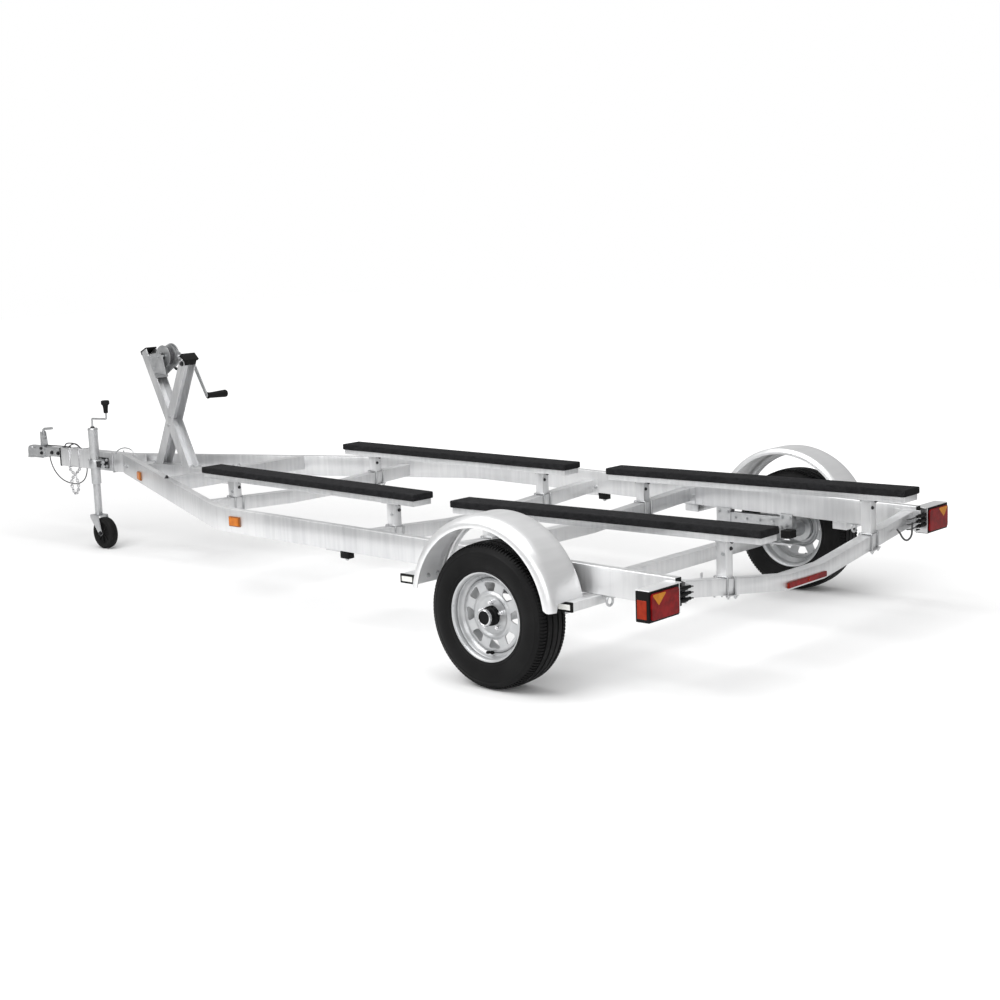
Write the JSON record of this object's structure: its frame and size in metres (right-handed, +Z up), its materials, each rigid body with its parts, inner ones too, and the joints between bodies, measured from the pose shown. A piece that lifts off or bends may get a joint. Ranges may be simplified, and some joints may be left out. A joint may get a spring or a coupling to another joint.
{
  "type": "boat trailer",
  "caption": "Single-axle boat trailer with a V-nose aluminium frame, carpeted bunks, mudguards, a winch post with bow stop, and a jockey wheel.",
  "frame": {"origin": "on the ground, at the centre of the bounding box's underside", "axes": "+X forward to the coupler, +Y to the trailer's left, +Z up"},
  "size_m": [6.1672, 2.55, 1.2895],
  "materials": {
    "frame_aluminium": "brushed, pale grey",
    "mudguard_aluminium": "rolled sheet, pale grey",
    "zinc_steel": "zinc-plated, satin",
    "rim_steel": "silver paint",
    "black_steel": "black, satin",
    "tyre_rubber": "matt black",
    "bunk_carpet": "dark grey carpet",
    "black_rubber": "matt black",
    "lamp_red": "gloss red lens",
    "chain_steel": "dull zinc",
    "cable_black": "black plastic sleeve",
    "marker_orange": "gloss orange lens"
  },
  "bodies": {
    "frame": {"left_rail": "frame_aluminium", "right_rail": "frame_aluminium", "drawbar": "frame_aluminium", "nose_crossmember": "frame_aluminium", "front_crossmember": "frame_aluminium", "middle_crossmember": "frame_aluminium", "axle_crossmember": "frame_aluminium", "rear_crossmember": "frame_aluminium", "mudguard_outriggers": "frame_aluminium", "rear_bunk_posts": "frame_aluminium", "front_bunk_posts": "frame_aluminium", "rear_bunk_bearers": "frame_aluminium", "front_bunk_bearers": "frame_aluminium", "winch_post": "frame_aluminium", "left_mudguard": "mudguard_aluminium", "right_mudguard": "mudguard_aluminium", "axle_beam": "zinc_steel", "axle_mounts": "zinc_steel", "winch_frame": "zinc_steel", "coupler": "zinc_steel", "coupler_handle": "zinc_steel", "jockey_clamp": "zinc_steel", "jockey_outer_tube": "zinc_steel", "tie_down_eyes": "zinc_steel", "left_rear_bunk": "bunk_carpet", "right_rear_bunk": "bunk_carpet", "left_front_bunk": "bunk_carpet", "right_front_bunk": "bunk_carpet", "bow_stop": "black_rubber", "rail_blocks": "black_rubber", "left_tail_lamp": "lamp_red", "right_tail_lamp": "lamp_red", "marker_lamps": "marker_orange", "safety_chain": "chain_steel", "breakaway_cable": "cable_black"},
    "left_wheel": {"left_hub": "black_steel", "left_rim": "rim_steel", "left_tyre": "tyre_rubber"},
    "right_wheel": {"right_hub": "black_steel", "right_rim": "rim_steel", "right_tyre": "tyre_rubber"},
    "jockey_stem": {"jockey_inner_tube": "zinc_steel"},
    "jockey_caster": {"jockey_fork": "zinc_steel"},
    "jockey_roller": {"jockey_wheel": "black_rubber"},
    "jockey_handle": {"jockey_crank": "zinc_steel"},
    "drum": {"winch_drum": "zinc_steel"},
    "crank": {"winch_crank": "zinc_steel"}
  },
  "joints": [
    {"name": "left_wheel_spin", "type": "hinge", "parent": "frame", "child": "left_wheel", "pos_m": [-2.1065, 1.1755, 0.315], "axis": [0, 1, 0], "continuous": true},
    {"name": "right_wheel_spin", "type": "hinge", "parent": "frame", "child": "right_wheel", "pos_m": [-2.1065, -1.1755, 0.315], "axis": [0, 1, 0], "continuous": true},
    {"name": "jockey_lift", "type": "slide", "parent": "frame", "child": "jockey_stem", "axis": [0, 0, 1], "range_m": [-0.06, 0.19]},
    {"name": "jockey_swivel", "type": "hinge", "parent": "jockey_stem", "child": "jockey_caster", "pos_m": [2.2235, 0.1, 0.206], "axis": [0, 0, 1], "continuous": true},
    {"name": "jockey_spin", "type": "hinge", "parent": "jockey_caster", "child": "jockey_roller", "pos_m": [2.1685, 0.1, 0.099], "axis": [0, 1, 0], "continuous": true},
    {"name": "jockey_crank_turn", "type": "hinge", "parent": "frame", "child": "jockey_handle", "pos_m": [2.2235, 0.1, 0.75], "axis": [0, 0, 1], "continuous": true},
    {"name": "winch_drum_turn", "type": "hinge", "parent": "frame", "child": "drum", "pos_m": [1.58199, 0, 1.21449], "axis": [0, 1, 0], "continuous": true},
    {"name": "winch_crank_turn", "type": "hinge", "parent": "frame", "child": "crank", "pos_m": [1.49172, 0, 1.2096], "axis": [0, 1, 0], "continuous": true}
  ],
  "couplings": [
    {"joint": "winch_crank_turn", "follows": "winch_drum_turn", "ratio": -5}
  ]
}
